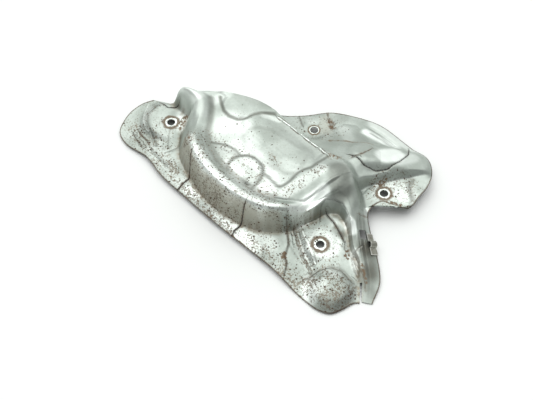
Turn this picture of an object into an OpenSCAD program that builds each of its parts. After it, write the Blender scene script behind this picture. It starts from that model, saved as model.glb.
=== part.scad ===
// Exhaust heat shield: one pressed steel sheet with a raised bulge, four bolt
// holes in low flanges, and a folded spring clip on its right skirt edge.
// It lies open side down. X runs along the two front bolts, Z is up.
// All sizes in millimetres.

/* [Sheet] */
// Thickness of the pressed steel
sheet_t = 1; // [0.8:0.1:1.3]

/* [Bolt holes] */
// Diameter of each bolt hole
hole_d = 8.5; // [6:0.5:10]
// Distance between the two front bolt holes
front_gap = 214; // [206:1:224]
// Distance from the front bolt line back to the rear left bolt hole
rear_row_y = 96.6; // [93:0.2:100]
// Distance from the middle of the front bolts to the rear left bolt hole
rear_row_x = 8.1; // [5:0.1:11]
// Distance between the two rear bolt holes
rear_gap = 104.7; // [101:0.1:108]
// Turn of the rear bolt line against the front one, in degrees
rear_turn = 5.6; // [4:0.1:7]
// Height of the flat seats at the front bolts
front_pad_h = 10; // [8:0.5:13]
// Height of the flat seats at the rear bolts
rear_pad_h = 13; // [11:0.5:15]
// Radius of the flat seat at the left front bolt
ear_pad_r = 17; // [12:0.5:19]
// Radius of the flat seat at the other bolts
pad_r = 9; // [7.5:0.5:10]

/* [Outline] */
// Front bolt line to the front edge
front_reach = 51; // [47:0.5:56]
// Left front bolt to the tip of the left ear
ear_reach = 44; // [38:0.5:50]
// Right front bolt to the tip of the toe
toe_reach = 62; // [58:0.5:66]
// Right front bolt to the tip of the skirt
skirt_reach = 75; // [71:0.5:80]
// Front bolt line to the back edge of the lobe
lobe_reach = 153; // [148:0.5:160]
// Rear right bolt to the right edge of the lobe
lobe_side = 28; // [24:0.5:32]
// Height of the front edge above the table
edge_h = 4.5; // [2.5:0.5:6]
// Height of the lobe edge above the table
lobe_h = 8; // [6:0.5:10]

/* [Bulge] */
// Height of the plateau
plateau_h = 36; // [30:1:42]
// Height of the tube bead above the plateau
bead_h = 6; // [3:0.5:8]
// Distance from the crest of the tube bead to its inner valley
bead_in = 15; // [12:0.5:16]
// Height of the wall foot above the table
foot_h = 8.5; // [6:0.5:10]
// Height of the dome above the plateau
dome_h = 5; // [3:0.5:7]
// Front bolt line to the fold behind the plateau
fold_y = 70; // [67:0.5:73]

/* [Pressed details] */
// Height of the terrace beside the tube bead
terrace_h = 1.1; // [0.6:0.1:2]
// Radius of the round boss on the plateau
boss_r = 18; // [14:0.5:21]
// Height of the round boss
boss_h = 2; // [1:0.1:3]
// Length of the oval field between its end centres
oval_l = 58; // [48:1:66]
// Half width of the oval field
oval_r = 14; // [10:0.5:17]
// Height of the oval field
oval_h = 1.6; // [0.8:0.1:2.4]
// Height of the strip behind the scalloped step
scallop_h = 1.6; // [0.8:0.1:2.4]
// Height of the dome on the toe
toe_h = 5; // [4:0.5:8]
// Height of the swell across the lobe
lobe_swell = 6.5; // [4:0.5:9]
// Depth of the pressed grooves
groove_d = 1.2; // [0.8:0.1:1.8]
// Depth of the scoop in the wall behind the right front bolt
dimple_d = 4; // [2:0.5:5]

/* [Skirt window and clip] */
// Width of the window in the skirt
window_w = 9; // [7:0.5:11]
// Height of the window in the skirt
window_h = 8; // [6:0.5:9]
// Width of the slit between toe and skirt
slit_w = 2; // [1.4:0.2:3]
// Length of the slit between toe and skirt
slit_l = 20; // [15:0.5:23]
// Length of the spring clip along the skirt edge
clip_l = 23; // [18:0.5:26]
// Depth to which the clip grips the edge
clip_grip = 7; // [5:0.5:8]
// Thickness of the clip strip
clip_t = 0.8; // [0.6:0.1:1.1]
// Clearance between the clip and the sheet
clip_gap = 0.35; // [0.3:0.05:0.5]

/* [Hidden] */
$fn = 48;

left_x = -front_gap / 2;
right_x = front_gap / 2;
rear_left = [rear_row_x, rear_row_y];
rear_right = rear_left + rear_gap * [cos(rear_turn), -sin(rear_turn)];
front_y = -front_reach;
ear_x = left_x - ear_reach;
toe_x = right_x + toe_reach;
skirt_x = right_x + skirt_reach;
lobe_x = rear_right.x + lobe_side;
crest_h = plateau_h + bead_h;
crown_k = 0.0006;
rest_h = sheet_t;
cut_reach = 8;
window_u = 18.115;
window_up = 10.6;
slit_turn = -49;
clip_u = 18.5;
clip_fold = 3.2;

// One row for each section across the sheet, from the back left corner round
// to the tip of the skirt: front edge, wall foot, crest of the tube bead (or top
// of the wall), height of the inner valley, back crest, run and height of the
// rear foot, rear edge, and the number of columns to the next section.
sections = [
  [[ear_x + 6, 8, front_pad_h - 2], [left_x - 25, 20, rest_h + 2], [left_x - 14, 36, rest_h + 2],
    rest_h + 2, [left_x - 3, 52, rest_h + 2], 2, rest_h + 2, [left_x + 4, 58, rest_h], 5],
  [[ear_x + 1, -3, front_pad_h - 3], [left_x - 14, 17, front_pad_h - 1], [left_x - 4, 27, crest_h],
    plateau_h, [left_x + 13, 42, plateau_h], 9, foot_h - 3, [left_x + 19, 64, rest_h], 3],
  [[ear_x, -22, edge_h], [left_x + 8, 16, front_pad_h], [left_x + 18, 27, crest_h + 0.5],
    plateau_h, [left_x + 34, 58, plateau_h], 9, foot_h - 3, [left_x + 37, 77, rest_h], 4],
  [[ear_x + 10, front_y + 8, rest_h + 1], [left_x + 15, 3, front_pad_h - 1],
    [left_x + 31, 16, crest_h], plateau_h, [-46, fold_y, plateau_h], 9, foot_h,
    [-48, fold_y + 17, rest_h], 4],
  [[ear_x + 27, front_y + 2, rest_h + 1], [left_x + 25, -11, foot_h], [left_x + 40, 2, crest_h - 2.5],
    plateau_h, [-18, fold_y + 3, plateau_h], 7, rear_pad_h - 2, [-31, fold_y + 22, lobe_h - 1], 4],
  [[-95, front_y + 5, edge_h], [-66, -25, foot_h], [-56, -13, crest_h], plateau_h,
    [0, fold_y, plateau_h], 6, rear_pad_h, [-14, rear_left.y + 9, lobe_h + 2], 4],
  [[-66, front_y, edge_h], [-42, -34, foot_h], [-36, -23, crest_h], plateau_h,
    [16, fold_y, plateau_h], 6, rear_pad_h + 2, [5, rear_left.y + 29, lobe_h + 6], 4],
  [[-30, front_y - 1, edge_h], [-14, -41, foot_h], [-10, -28, crest_h], plateau_h,
    [32, fold_y, plateau_h], 8, rear_pad_h + 6, [20, lobe_reach - 12.5, lobe_h + 1], 4],
  [[15, front_y - 1, edge_h], [20, -41, foot_h], [20, -28, crest_h], plateau_h,
    [46, fold_y + 1, plateau_h + 0.5], 9, rear_pad_h + 12, [49, lobe_reach, lobe_h], 4],
  [[58, front_y + 1, edge_h], [53, -31, foot_h], [47, -21, crest_h - 1], plateau_h - 0.5,
    [60, fold_y + 1, plateau_h + 1], 10, rear_pad_h + 17, [85, lobe_reach, lobe_h], 3],
  [[right_x - 15, front_y + 2, edge_h], [right_x - 31, -11, front_pad_h],
    [right_x - 41, -6, crest_h - 3], plateau_h - 4, [right_x - 37, fold_y + 1, plateau_h + 1.5],
    11, rear_pad_h + 18, [lobe_x - 23, lobe_reach - 3, lobe_h], 4],
  [[right_x + 2, front_y + 1, edge_h - 1], [right_x - 27, 3, front_pad_h],
    [right_x - 29.5, 6, front_pad_h + 17.5], plateau_h - 6.5, [right_x - 29, fold_y - 1, plateau_h + 1],
    11, rear_pad_h + 15, [lobe_x - 10, lobe_reach - 13, lobe_h], 3],
  [[right_x + 18, front_y, rest_h + 0.5], [right_x - 22, 16, front_pad_h + 1],
    [right_x - 25, 19, front_pad_h + 19], plateau_h - 4.5, [right_x - 22, fold_y - 4, plateau_h],
    11, rear_pad_h + 12, [lobe_x - 3, lobe_reach - 29, lobe_h + 1], 3],
  [[right_x + 31, front_y, rest_h], [right_x - 18.5, 27, front_pad_h + 3],
    [right_x - 21, 32, front_pad_h + 18], plateau_h - 4,
    [right_x - 16, fold_y - 9, plateau_h - 1.5], 13, rear_pad_h + 8,
    [lobe_x - 1, lobe_reach - 45, lobe_h + 2], 3],
  [[right_x + 41, front_y + 0.5, rest_h], [right_x - 10.5, 35, front_pad_h + 5.5],
    [right_x - 11, 40, front_pad_h + 16.5], plateau_h - 7, [right_x - 10, fold_y - 13, plateau_h - 5.5],
    13, rear_pad_h + 7, [lobe_x, rear_right.y + 4, lobe_h + 2], 3],
  [[right_x + 49, front_y + 3, rest_h], [right_x - 2, 33.5, front_pad_h + 5],
    [right_x - 1.5, 38, front_pad_h + 14], plateau_h - 10.5, [right_x - 4, fold_y - 17, plateau_h - 9.5],
    12, rear_pad_h + 7, [lobe_x - 13, rear_right.y - 4, lobe_h + 4], 3],
  [[toe_x - 7, front_y + 7, rest_h], [right_x + 6, 30, front_pad_h + 3.5],
    [right_x + 7, 34.5, front_pad_h + 10.5], plateau_h - 14.5, [right_x + 1, fold_y - 20, plateau_h - 13.5],
    11, rear_pad_h + 5, [lobe_x - 23.5, rear_right.y - 9.5, rear_pad_h], 3],
  [[toe_x - 3.5, front_y + 14, rest_h], [right_x + 13.5, 24.5, front_pad_h + 1.5],
    [right_x + 14, 28.5, front_pad_h + 7], plateau_h - 17.5, [right_x + 6, fold_y - 24, plateau_h - 16],
    5, rear_pad_h + 3, [lobe_x - 24.5, rear_right.y - 26.5, rear_pad_h - 1], 3],
  [[toe_x - 1.5, front_y + 21, rest_h + 0.5], [right_x + 25, 15.5, front_pad_h - 1],
    [right_x + 24.5, 20, front_pad_h + 3], plateau_h - 21.5, [right_x + 14, fold_y - 32, plateau_h - 19.5],
    5, rear_pad_h, [right_x + 24.5, fold_y - 24.5, rear_pad_h - 6], 4],
  [[toe_x, front_y + 28, rest_h + 0.5], [right_x + 38, 11, front_pad_h - 3],
    [right_x + 37.5, 14, front_pad_h], plateau_h - 25.5, [right_x + 30, fold_y - 46, plateau_h - 25],
    6, rear_pad_h - 4.5, [right_x + 46.5, fold_y - 39.5, rear_pad_h - 9], 4],
  [[toe_x + 2, front_y + 32, rest_h], [skirt_x - 24, front_y + 49, front_pad_h - 6],
    [skirt_x - 23, front_y + 51, front_pad_h - 5], front_pad_h - 4,
    [skirt_x - 20, front_y + 55, front_pad_h - 4], 5, front_pad_h - 5,
    [skirt_x - 9, front_y + 63, rest_h + 2], 3],
  [[toe_x + 5, front_y + 34.5, rest_h], [skirt_x - 10, front_y + 36, rest_h],
    [skirt_x - 8, front_y + 37, rest_h], rest_h, [skirt_x - 4, front_y + 39, rest_h], 2, rest_h,
    [skirt_x, front_y + 42, rest_h], 0]
];

// Section of the wall and of the outer half of the tube bead: share of the run
// from foot to crest, and share of the rise.
wall_form = [[0, 0], [0.10, 0.06], [0.24, 0.30], [0.38, 0.58], [0.52, 0.79], [0.67, 0.92],
  [0.84, 0.985], [1, 1]];
// Where the rows lie on the inner half of the tube bead.
bead_rows = [0.33, 0.66, 1];
// Where the rows lie on the front flange, plateau, rear wall and rear flange.
flange_rows = [0, 0.12, 0.27, 0.42, 0.57, 0.71, 0.83, 0.92];
plateau_rows = [0.08, 0.17, 0.26, 0.35, 0.44, 0.53, 0.62, 0.71, 0.79, 0.87, 0.94, 1];
rear_wall_rows = [0.3, 0.65, 1];
rear_rows = [0.1, 0.22, 0.35, 0.5, 0.65, 0.8, 0.91, 1];

last = len(sections) - 1;
function ease(t) = let(c = max(0, min(1, t))) c * c * (3 - 2 * c);
function mix(a, b, t) = a + (b - a) * t;
function flat(p) = [p.x, p.y];
function unit(v) = v / norm(v);

// Smooth curve through the points of one rail, at section position u.
function chord(a, b) = sqrt(max(norm(b - a), 0.001));
function curve(p1, m1, p2, m2, f) =
  let(g = f * f, h = g * f)
  (2 * h - 3 * g + 1) * p1 + (h - 2 * g + f) * m1 + (3 * g - 2 * h) * p2 + (h - g) * m2;
function before(r, k) = k > 0 ? sections[k - 1][r] : 2 * sections[0][r] - sections[1][r];
function after(r, k) = k < last - 1 ? sections[k + 2][r] : 2 * sections[last][r] - sections[last - 1][r];
function rail(r, u) =
  let(
    k = min(floor(u), last - 1),
    p0 = before(r, k),
    p1 = sections[k][r],
    p2 = sections[k + 1][r],
    p3 = after(r, k),
    a = chord(p0, p1),
    b = chord(p1, p2),
    c = chord(p2, p3),
    m1 = p2 - p1 + b * ((p1 - p0) / a - (p2 - p0) / (a + b)),
    m2 = p2 - p1 + b * ((p3 - p2) / c - (p3 - p1) / (b + c))
  )
  curve(p1, m1, p2, m2, u - k);

// The same for a single number of the sections.
function value(r, u) =
  let(
    k = min(floor(u), last - 1),
    p1 = sections[k][r],
    p2 = sections[k + 1][r]
  )
  curve(p1, (p2 - before(r, k)) / 2, p2, (after(r, k) - p1) / 2, u - k);

// Pressed details, each a height as a function of the place in plan.
function near(p, c, r_in, r_out) = ease((r_out - norm(flat(p) - c)) / (r_out - r_in));
function seat(p, c, h, r_in, r_out) = [p.x, p.y, mix(p.z, h, near(p, c, r_in, r_out))];
function raise(p, h) = [p.x, p.y, p.z + h];
function off_line(p, a, b) =
  let(d = b - a, s = max(0, min(1, (flat(p) - a) * d / (d * d)))) norm(flat(p) - a - s * d);
function groove(p, a, b, w) = -groove_d * ease(1 - off_line(p, a, b) / w);

// How far a point lies to the right of the line from a to b, seen in plan.
function beside(p, a, b) = let(d = unit(b - a), q = flat(p) - a) q.x * d.y - q.y * d.x;
function long_seat(p, a, b, h, r_in, r_out) =
  [p.x, p.y, mix(p.z, h, ease((r_out - off_line(p, a, b)) / (r_out - r_in)))];

function front_form(p) =
  let(
    dent = 0.5 * sin(p.x * 9 + p.y * 5) * sin(p.x * 4 - p.y * 11) * ease((-22 - p.y) / 10)
      * ease((right_x - 10 - p.x) / 30),
    toe = toe_h * near(p, [toe_x - 22, front_y + 23], 10, 26) * ease((toe_x + 2 - p.x) / 12),
    cut = groove(p, [right_x - 24, -6], [right_x + 14, -23], 3.5)
      + groove(p, [right_x - 22, -18], [right_x + 14, -28], 3.5)
      + groove(p, [right_x - 48, -36], [right_x - 32, -47], 4),
    q = raise(p, dent + toe + cut),
    q1 = long_seat(q, [left_x, 0], [left_x - 10, -2], front_pad_h, ear_pad_r, ear_pad_r + 9)
  )
  seat(q1, [right_x, 0], front_pad_h, pad_r + 3, pad_r + 10);

function top_form(p) =
  let(
    x = p.x,
    y = p.y,
    edge_x = right_x - 37 + (y - 5) * 0.22,
    by_bead = ease((mix(-2, 7, (x + 40) / 30) - y) / 4) * ease((0 - x) / 8),
    by_end = ease((8 - y) / 4) * ease((x - 14) / 6),
    by_dome = ease((x - 45) / 5),
    terrace = max(by_bead, by_end, by_dome) * max(ease((edge_x - x) / 3), ease((y - 48) / 12) * ease((right_x - 17 - x) / 14)),
    boss = near(p, [8, -4], boss_r - 2.5, boss_r + 1.5),
    oval = ease((oval_r + 3 - off_line(p, [4 - oval_l / 2, 47], [4 + oval_l / 2, 47])) / 5),
    behind = ease(-beside(p, [-38, 50], [-23, fold_y]) / 4) * ease((y - 48) / 4),
    scallop = max(near(p, [-57, 52], 15, 19), behind),
    dome = near(p, [right_x - 35, fold_y - 22], 3, 27),
    crown = crown_k * pow(max(0, y - 20), 2)
  )
  raise(p, max(terrace_h * terrace, boss_h * boss) + oval_h * oval + scallop_h * scallop
    + dome_h * dome - crown);

function slope_form(p) = raise(p, -dimple_d * near(p, [right_x - 9, 31], 2, 10));

function rear_form(p) =
  let(
    swell_end = rear_right + [0, lobe_reach - rear_right.y - 17],
    swell = lobe_swell * ease((24 - off_line(p, swell_end - [40, 32], swell_end)) / 14),
    channel = groove(p, [48, lobe_reach - 12], [84, lobe_reach - 12], 5),
    bend = groove(p, rear_right + [8, 32], rear_right + [27, 12], 4),
    q = raise(p, swell + channel),
    q1 = seat(q, rear_left, rear_pad_h, pad_r, pad_r + 7)
  )
  raise(long_seat(q1, rear_right - [3, 12], rear_right + [23, 32], rear_pad_h, pad_r + 6, pad_r + 11), bend);

// One section of the outer face, from the front edge to the rear edge.
function section(u) =
  let(
    e = rail(0, u),
    foot = rail(1, u),
    g = front_form(foot),
    c = rail(2, u),
    valley = value(3, u),
    b = rail(4, u),
    z = rail(7, u),
    span = max(norm(flat(b) - flat(c)), 0.001),
    i = flat(c) + (flat(b) - flat(c)) / span * min(bead_in, span * 0.45),
    bead = max(0, min(1, (c.z - valley) / bead_h)),
    top = top_form(b),
    back = max(norm(flat(z) - flat(b)), 0.001),
    d0 = flat(b) + (flat(z) - flat(b)) / back * min(value(5, u), back * 0.6),
    d = rear_form([d0.x, d0.y, value(6, u)])
  )
  concat(
    [for (t = flange_rows) front_form(mix(e, foot, t))],
    [for (w = wall_form) let(q = mix(flat(g), flat(c), w[0]))
      slope_form([q.x, q.y, mix(g.z, c.z, mix(w[0], w[1], bead))])],
    [for (t = bead_rows) let(q = mix(flat(c), i, t))
      slope_form([q.x, q.y, mix(c.z, valley, mix(t, ease(t), bead))])],
    [for (t = plateau_rows) let(q = mix(i, flat(b), t))
      slope_form(top_form([q.x, q.y, mix(valley, b.z, mix(1 - pow(1 - t, 1.5), ease(t), bead))]))],
    [for (t = rear_wall_rows) let(q = mix(flat(b), flat(d), t))
      [q.x, q.y, mix(top.z, d.z, ease(t))]],
    [for (t = rear_rows) rear_form([mix(d0.x, z.x, t), mix(d0.y, z.y, t), mix(value(6, u), z.z, t)])]
  );

us = concat([for (k = [0:last - 1]) each [for (i = [0:sections[k][8] - 1]) k + i / sections[k][8]]],
  [last]);
nu = len(us);
outer = [for (u = us) section(u)];
nv = len(outer[0]);
function normal_at(i, j) =
  let(
    a = outer[min(i + 1, nu - 1)][j] - outer[max(i - 1, 0)][j],
    b = outer[i][min(j + 1, nv - 1)] - outer[i][max(j - 1, 0)],
    n = cross(a, b)
  )
  n / max(norm(n), 0.0001);
inner = [for (i = [0:nu - 1]) [for (j = [0:nv - 1]) outer[i][j] - sheet_t * normal_at(i, j)]];
corners = concat([for (s = outer) each s], [for (s = inner) each s]);
low = [for (k = [0:2]) min([for (p = corners) p[k]])];
high = [for (k = [0:2]) max([for (p = corners) p[k]])];
home = [-(low.x + high.x) / 2, -(low.y + high.y) / 2, -low.z];

// Closed skin of the sheet: outer face, inner face and the cut edge all round.
function at(i, j, side) = (side * nu + i) * nv + j;
skin = concat(
  [for (i = [0:nu - 2]) for (j = [0:nv - 2]) each [
    [at(i, j, 0), at(i + 1, j + 1, 0), at(i + 1, j, 0)],
    [at(i, j, 0), at(i, j + 1, 0), at(i + 1, j + 1, 0)],
    [at(i, j, 1), at(i + 1, j, 1), at(i + 1, j + 1, 1)],
    [at(i, j, 1), at(i + 1, j + 1, 1), at(i, j + 1, 1)]
  ]],
  [for (i = [0:nu - 2]) each [
    [at(i, 0, 0), at(i + 1, 0, 0), at(i + 1, 0, 1)],
    [at(i, 0, 0), at(i + 1, 0, 1), at(i, 0, 1)],
    [at(i, nv - 1, 0), at(i + 1, nv - 1, 1), at(i + 1, nv - 1, 0)],
    [at(i, nv - 1, 0), at(i, nv - 1, 1), at(i + 1, nv - 1, 1)]
  ]],
  [for (j = [0:nv - 2]) each [
    [at(0, j, 0), at(0, j + 1, 1), at(0, j + 1, 0)],
    [at(0, j, 0), at(0, j, 1), at(0, j + 1, 1)],
    [at(nu - 1, j, 0), at(nu - 1, j + 1, 0), at(nu - 1, j + 1, 1)],
    [at(nu - 1, j, 0), at(nu - 1, j + 1, 1), at(nu - 1, j, 1)]
  ]]
);

// A frame on the skirt at section u: X along its edge, Y up the sheet, Z out of it.
function skirt_frame(u) =
  let(
    o = rail(7, u),
    b = rail(4, u),
    back = flat(o) - flat(b),
    d = flat(b) + unit(back) * value(5, u),
    along = unit(rail(7, u + 0.05) - rail(7, u - 0.05)),
    out = unit(cross([d.x, d.y, value(6, u)] - o, along))
  )
  [o, -along, cross(along, out), out];
function on_frame(f, p) = f[0] + f[1] * p.x + f[2] * p.y + f[3] * p.z;
module at_frame(f) {
  multmatrix([for (k = [0:2]) [f[1][k], f[2][k], f[3][k], f[0][k]]])
    children();
}

module bolt_hole(p, h) {
  translate([p.x, p.y, h - cut_reach])
    cylinder(d = hole_d, h = 2 * cut_reach);
}

// Through cuts in the right skirt: the clip window, and the slit beside the toe.
module skirt_window() {
  at_frame(skirt_frame(window_u))
    translate([0, window_up, 0])
      cube([window_w, window_h, 2 * cut_reach], center = true);
}
module toe_slit() {
  translate([toe_x + 5, front_y + 34.5, 0])
    rotate(slit_turn)
      translate([-slit_l, -slit_w / 2, -cut_reach])
        cube([slit_l + cut_reach, slit_w, 3 * cut_reach]);
}

module shield_sheet() {
  color([0.72, 0.74, 0.72])
    translate(home)
      difference() {
        polyhedron(points = corners, faces = skin, convexity = 8);
        bolt_hole([left_x, 0], front_pad_h);
        bolt_hole([right_x, 0], front_pad_h);
        bolt_hole(rear_left, rear_pad_h);
        bolt_hole(rear_right, rear_pad_h);
        skirt_window();
        toe_slit();
      }
}

// The clip is a strip folded round the skirt edge, with a round spring fold
// across its middle. Its section is swept along the edge.
clip_span = clip_l / norm(rail(7, clip_u + 0.5) - rail(7, clip_u - 0.5));
function clip_lift(t) = clip_fold * sqrt(max(0, 1 - pow((t - 0.5) * clip_l / clip_fold, 2)));
clip_in = -sheet_t - clip_gap;
function clip_ring(t) =
  let(f = skirt_frame(clip_u + (t - 0.5) * clip_span), h = clip_gap + clip_lift(t))
  [for (q = [
    [clip_grip, h], [clip_grip, h + clip_t], [-clip_gap - clip_t, h + clip_t],
    [-clip_gap - clip_t, clip_in - clip_t], [clip_grip - 2, clip_in - clip_t],
    [clip_grip - 2, clip_in], [-clip_gap, clip_in], [-clip_gap, h]
  ]) on_frame(f, [0, q[0], q[1]])];
clip_steps = concat([0, 0.12, 0.24], [for (k = [0:8]) 0.5 + clip_fold / clip_l * sin(k * 22.5 - 90)],
  [0.76, 0.88, 1]);
clip_cap = [[0, 1, 2, 7], [7, 2, 3, 6], [6, 3, 4, 5]];
module edge_clip() {
  n = len(clip_steps);
  color([0.45, 0.44, 0.40])
    translate(home)
      polyhedron(
        points = [for (t = clip_steps) each clip_ring(t)],
        faces = concat(
          [for (c = clip_cap) [for (j = [3:-1:0]) c[j]]],
          [for (c = clip_cap) [for (j = c) (n - 1) * 8 + j]],
          [for (i = [0:n - 2]) for (j = [0:7]) each [
            [i * 8 + j, i * 8 + 8 + (j + 1) % 8, i * 8 + 8 + j],
            [i * 8 + j, i * 8 + (j + 1) % 8, i * 8 + 8 + (j + 1) % 8]
          ]]
        )
      );
}

shield_sheet();
edge_clip();
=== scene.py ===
"""Looks of a used exhaust heat shield lying open side down on a white table.

The pressed sheet is one fine mesh made on the same sections as the solid part,
with its creases and bolt seats pressed in, and a dull aluminised finish with
cracks and fine rust specks. The folded spring clip sits on its skirt edge.
"""

import logging
import math
from dataclasses import dataclass, field
from enum import Enum

import bpy
import numpy as np
from mathutils import Matrix, Vector


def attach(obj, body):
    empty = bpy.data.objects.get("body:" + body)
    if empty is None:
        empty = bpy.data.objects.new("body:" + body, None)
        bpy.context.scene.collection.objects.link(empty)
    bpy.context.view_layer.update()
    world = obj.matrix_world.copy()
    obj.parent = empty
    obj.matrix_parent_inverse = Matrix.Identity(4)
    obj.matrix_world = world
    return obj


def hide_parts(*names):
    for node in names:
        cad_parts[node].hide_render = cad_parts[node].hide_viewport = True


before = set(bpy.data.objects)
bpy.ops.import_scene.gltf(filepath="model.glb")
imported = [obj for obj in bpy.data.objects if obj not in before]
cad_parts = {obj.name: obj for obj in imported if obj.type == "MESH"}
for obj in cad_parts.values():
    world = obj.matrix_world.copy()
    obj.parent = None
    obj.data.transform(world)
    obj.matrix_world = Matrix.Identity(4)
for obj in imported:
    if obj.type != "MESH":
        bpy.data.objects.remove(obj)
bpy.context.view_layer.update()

MM = 0.001
HOME = (-15.2034, -50.9304, 0.2287)
# Start values of searches for the nearest line or outline, in millimetres.
LINE_FAR = 9.0
FAR = 99.0
SHARP_TURN = math.radians(40)

Point = tuple[float, float, float]
Plan = tuple[float, float]
Colour = tuple[float, float, float]
Socket = bpy.types.NodeSocket


class Region(Enum):
    """Parts of a section across the sheet, in order from the front edge."""

    FLANGE = 0
    WALL = 1
    BEAD = 2
    TOP = 3
    REAR_WALL = 4
    REAR = 5

# Number of rows in each part of a section, and which of them it keeps.
ROWS: tuple[tuple[Region, int, slice], ...] = (
    (Region.FLANGE, 32, slice(0, -1)),
    (Region.WALL, 31, slice(0, None)),
    (Region.BEAD, 14, slice(1, None)),
    (Region.TOP, 39, slice(1, None)),
    (Region.REAR_WALL, 11, slice(1, None)),
    (Region.REAR, 29, slice(1, None)),
)


@dataclass(frozen=True)
class Station:
    """One section across the sheet, in millimetres from the middle of the front bolts.

    Args:
        edge: Point on the front edge.
        foot: Foot of the wall.
        crest: Crest of the tube bead, or top of the wall.
        valley: Height of the valley behind the bead.
        back: Back crest, where the plateau or dome ends.
        rear_run: Distance in plan from the back crest to the rear foot.
        rear_h: Height of the rear foot.
        rim: Point on the rear edge.
        columns: Number of coarse columns to the next section.
    """

    edge: Point
    foot: Point
    crest: Point
    valley: float
    back: Point
    rear_run: float
    rear_h: float
    rim: Point
    columns: int


STATIONS: tuple[Station, ...] = (
    Station((-145, 8, 8), (-132, 20, 3), (-121, 36, 3), 3,
            (-110, 52, 3), 2, 3, (-103, 58, 1), 5),
    Station((-150, -3, 7), (-121, 17, 9), (-111, 27, 42), 36,
            (-94, 42, 36), 9, 5.5, (-88, 64, 1), 3),
    Station((-151, -22, 4.5), (-99, 16, 10), (-89, 27, 42.5), 36,
            (-73, 58, 36), 9, 5.5, (-70, 77, 1), 4),
    Station((-141, -43, 2), (-92, 3, 9), (-76, 16, 42), 36,
            (-46, 70, 36), 9, 8.5, (-48, 87, 1), 4),
    Station((-124, -49, 2), (-82, -11, 8.5), (-67, 2, 39.5), 36,
            (-18, 73, 36), 7, 11, (-31, 92, 7), 4),
    Station((-95, -46, 4.5), (-66, -25, 8.5), (-56, -13, 42), 36,
            (0, 70, 36), 6, 13, (-14, 105.6, 10), 4),
    Station((-66, -51, 4.5), (-42, -34, 8.5), (-36, -23, 42), 36,
            (16, 70, 36), 6, 15, (5, 125.6, 14), 4),
    Station((-30, -52, 4.5), (-14, -41, 8.5), (-10, -28, 42), 36,
            (32, 70, 36), 8, 19, (20, 140.5, 9), 4),
    Station((15, -52, 4.5), (20, -41, 8.5), (20, -28, 42), 36,
            (46, 71, 36.5), 9, 25, (49, 153, 8), 4),
    Station((58, -50, 4.5), (53, -31, 8.5), (47, -21, 41), 35.5,
            (60, 71, 37), 10, 30, (85, 153, 8), 3),
    Station((92, -49, 4.5), (76, -11, 10), (66, -6, 39), 32,
            (70, 71, 37.5), 11, 31, (117.3, 150, 8), 4),
    Station((109, -50, 3.5), (80, 3, 10), (77.5, 6, 27.5), 29.5,
            (78, 69, 37), 11, 28, (130.3, 140, 8), 3),
    Station((125, -51, 1.5), (85, 16, 11), (82, 19, 29), 31.5,
            (85, 66, 36), 11, 25, (137.3, 124, 9), 3),
    Station((138, -51, 1), (88.5, 27, 13), (86, 32, 28), 32,
            (91, 61, 34.5), 13, 21, (139.3, 108, 10), 3),
    Station((148, -50.5, 1), (96.5, 35, 15.5), (96, 40, 26.5), 29,
            (97, 57, 30.5), 13, 20, (140.3, 90.38, 10), 3),
    Station((156, -48, 1), (105, 33.5, 15), (105.5, 38, 24), 25.5,
            (103, 53, 26.5), 12, 20, (127.3, 82.38, 12), 3),
    Station((162, -44, 1), (113, 30, 13.5), (114, 34.5, 20.5), 21.5,
            (108, 50, 22.5), 11, 18, (116.8, 76.88, 13), 3),
    Station((165.5, -37, 1), (120.5, 24.5, 11.5), (121, 28.5, 17), 18.5,
            (113, 46, 20), 5, 16, (115.8, 59.88, 12), 3),
    Station((167.5, -30, 1.5), (132, 15.5, 9), (131.5, 20, 13), 14.5,
            (121, 38, 16.5), 5, 13, (131.5, 45.5, 7), 4),
    Station((169, -23, 1.5), (145, 11, 7), (144.5, 14, 10), 10.5,
            (137, 24, 11), 6, 8.5, (153.5, 30.5, 4), 4),
    Station((171, -19, 1), (158, -2, 4), (159, 0, 5), 6,
            (162, 4, 6), 5, 5, (173, 12, 3), 3),
    Station((174, -16.5, 1), (172, -15, 1), (174, -14, 1), 1,
            (178, -12, 1), 2, 1, (182, -9, 1), 0),
)


def ease(t: np.ndarray) -> np.ndarray:
    """Smooth step from 0 to 1."""
    c = np.clip(t, 0.0, 1.0)
    return c * c * (3.0 - 2.0 * c)


def mix(a: np.ndarray, b: np.ndarray, t: np.ndarray) -> np.ndarray:
    """Straight blend of two values."""
    return a + (b - a) * t


def near(p: np.ndarray, c: Plan, r_in: float, r_out: float) -> np.ndarray:
    """Weight that is 1 inside a circle in plan and 0 outside a wider one."""
    d = np.hypot(p[..., 0] - c[0], p[..., 1] - c[1])
    return ease((r_out - d) / (r_out - r_in))


def off_line(p: np.ndarray, a: Plan, b: Plan) -> np.ndarray:
    """Distance in plan from a straight line between two points.

    Args:
        p: Points, last axis x y z.
        a: Start of the line.
        b: End of the line.

    Returns:
        One distance for each point.
    """
    ab = np.subtract(b, a).astype(float)
    q = p[..., :2] - np.asarray(a, float)
    s = np.clip((q @ ab) / (ab @ ab), 0.0, 1.0)
    return np.linalg.norm(q - s[..., None] * ab, axis=-1)


def beside(p: np.ndarray, a: Plan, b: Plan) -> np.ndarray:
    """Distance in plan to the right of the line from a to b."""
    d = np.subtract(b, a) / np.hypot(*np.subtract(b, a))
    return (p[..., 0] - a[0]) * d[1] - (p[..., 1] - a[1]) * d[0]


def cubic(f: np.ndarray, a: np.ndarray, b: np.ndarray, m: np.ndarray, n: np.ndarray) -> np.ndarray:
    """Cubic curve between two values."""
    g, h = f * f, f * f * f
    return (2 * h - 3 * g + 1) * a + (h - 2 * g + f) * m + (3 * g - 2 * h) * b + (h - g) * n


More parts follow.
